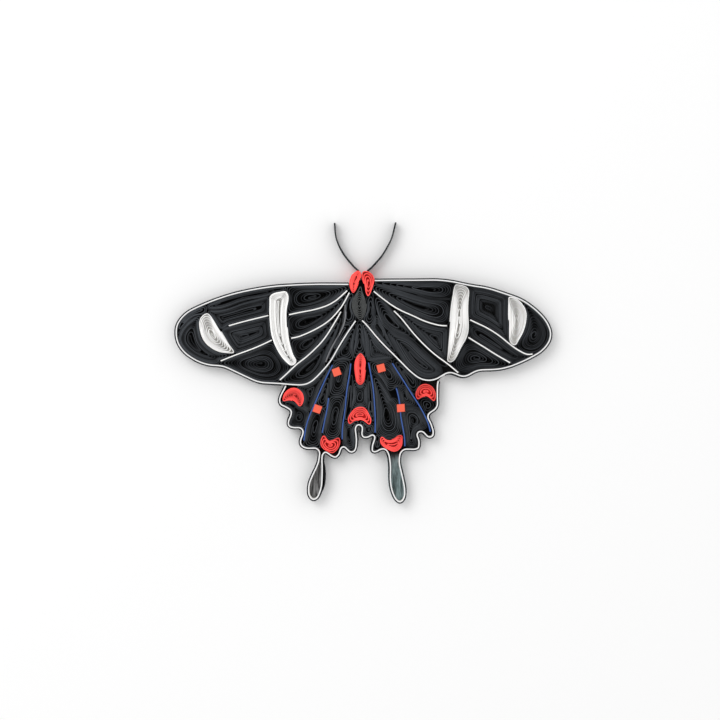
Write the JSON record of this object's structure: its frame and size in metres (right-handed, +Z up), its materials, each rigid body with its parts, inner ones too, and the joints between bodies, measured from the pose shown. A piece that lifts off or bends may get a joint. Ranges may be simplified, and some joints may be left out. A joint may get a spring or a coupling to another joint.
{
  "type": "quilled paper butterfly",
  "caption": "Butterfly ornament of quilled paper rolls standing on edge inside strip outlines, glued on a cut paper ground.",
  "frame": {"origin": "on the underside of the paper ground, at the middle of the body line between the wings", "axes": "+Z up out of the ground, +Y towards the head, +X towards the wing on the right"},
  "size_m": [0.0909, 0.0677, 0.0035],
  "materials": {
    "centre_red_crescent": "matte",
    "ground_sheet": "matte",
    "hindwing_black_edge": "matte",
    "hindwing_white_edge": "matte",
    "leaning_strip": "matte",
    "left_antenna": "matte",
    "left_blue_veins": "matte",
    "left_forewing_black_edge": "matte",
    "left_forewing_white_edge": "matte",
    "left_fourth_roll": "matte",
    "left_head_roll": "matte",
    "left_hindwing_inner_rolls": "matte",
    "left_hindwing_middle_rolls": "matte",
    "left_hindwing_outer_rolls": "matte",
    "left_leading_roll": "matte",
    "left_lower_cell_roll": "matte",
    "left_lower_red_crescent": "matte",
    "left_middle_cell_roll": "matte",
    "left_outer_red_crescent": "matte",
    "left_rim_roll": "matte",
    "left_root_roll": "matte",
    "left_second_roll": "matte",
    "left_shoulder_roll": "matte",
    "left_third_roll": "matte",
    "left_thorax_side_roll": "matte",
    "left_tip_roll": "matte",
    "left_upper_cell_roll": "matte",
    "left_white_band": "matte",
    "left_white_crescent": "matte",
    "left_white_veins": "matte",
    "lower_abdomen_roll": "matte",
    "red_oval": "matte",
    "red_squares": "matte",
    "right_antenna": "matte",
    "right_blue_veins": "matte",
    "right_forewing_black_edge": "matte",
    "right_forewing_white_edge": "matte",
    "right_fourth_roll": "matte",
    "right_head_roll": "matte",
    "right_hindwing_inner_rolls": "matte",
    "right_hindwing_middle_rolls": "matte",
    "right_hindwing_outer_rolls": "matte",
    "right_long_roll": "matte",
    "right_lower_cell_roll": "matte",
    "right_lower_red_crescent": "matte",
    "right_middle_cell_roll": "matte",
    "right_outer_red_crescent": "matte",
    "right_root_roll": "matte",
    "right_second_roll": "matte",
    "right_shoulder_roll": "matte",
    "right_third_roll": "matte",
    "right_thorax_side_roll": "matte",
    "right_tip_roll": "matte",
    "right_upper_cell_roll": "matte",
    "right_white_band": "matte",
    "right_white_crescent": "matte",
    "right_white_veins": "matte",
    "thin_dark_vein": "matte",
    "thorax_roll": "matte",
    "upper_abdomen_roll": "matte"
  },
  "bodies": {
    "root": {"centre_red_crescent": "centre_red_crescent", "ground_sheet": "ground_sheet", "hindwing_black_edge": "hindwing_black_edge", "hindwing_white_edge": "hindwing_white_edge", "leaning_strip": "leaning_strip", "left_antenna": "left_antenna", "left_blue_veins": "left_blue_veins", "left_forewing_black_edge": "left_forewing_black_edge", "left_forewing_white_edge": "left_forewing_white_edge", "left_fourth_roll": "left_fourth_roll", "left_head_roll": "left_head_roll", "left_hindwing_inner_rolls": "left_hindwing_inner_rolls", "left_hindwing_middle_rolls": "left_hindwing_middle_rolls", "left_hindwing_outer_rolls": "left_hindwing_outer_rolls", "left_leading_roll": "left_leading_roll", "left_lower_cell_roll": "left_lower_cell_roll", "left_lower_red_crescent": "left_lower_red_crescent", "left_middle_cell_roll": "left_middle_cell_roll", "left_outer_red_crescent": "left_outer_red_crescent", "left_rim_roll": "left_rim_roll", "left_root_roll": "left_root_roll", "left_second_roll": "left_second_roll", "left_shoulder_roll": "left_shoulder_roll", "left_third_roll": "left_third_roll", "left_thorax_side_roll": "left_thorax_side_roll", "left_tip_roll": "left_tip_roll", "left_upper_cell_roll": "left_upper_cell_roll", "left_white_band": "left_white_band", "left_white_crescent": "left_white_crescent", "left_white_veins": "left_white_veins", "lower_abdomen_roll": "lower_abdomen_roll", "red_oval": "red_oval", "red_squares": "red_squares", "right_antenna": "right_antenna", "right_blue_veins": "right_blue_veins", "right_forewing_black_edge": "right_forewing_black_edge", "right_forewing_white_edge": "right_forewing_white_edge", "right_fourth_roll": "right_fourth_roll", "right_head_roll": "right_head_roll", "right_hindwing_inner_rolls": "right_hindwing_inner_rolls", "right_hindwing_middle_rolls": "right_hindwing_middle_rolls", "right_hindwing_outer_rolls": "right_hindwing_outer_rolls", "right_long_roll": "right_long_roll", "right_lower_cell_roll": "right_lower_cell_roll", "right_lower_red_crescent": "right_lower_red_crescent", "right_middle_cell_roll": "right_middle_cell_roll", "right_outer_red_crescent": "right_outer_red_crescent", "right_root_roll": "right_root_roll", "right_second_roll": "right_second_roll", "right_shoulder_roll": "right_shoulder_roll", "right_third_roll": "right_third_roll", "right_thorax_side_roll": "right_thorax_side_roll", "right_tip_roll": "right_tip_roll", "right_upper_cell_roll": "right_upper_cell_roll", "right_white_band": "right_white_band", "right_white_crescent": "right_white_crescent", "right_white_veins": "right_white_veins", "thin_dark_vein": "thin_dark_vein", "thorax_roll": "thorax_roll", "upper_abdomen_roll": "upper_abdomen_roll"}
  },
  "joints": []
}
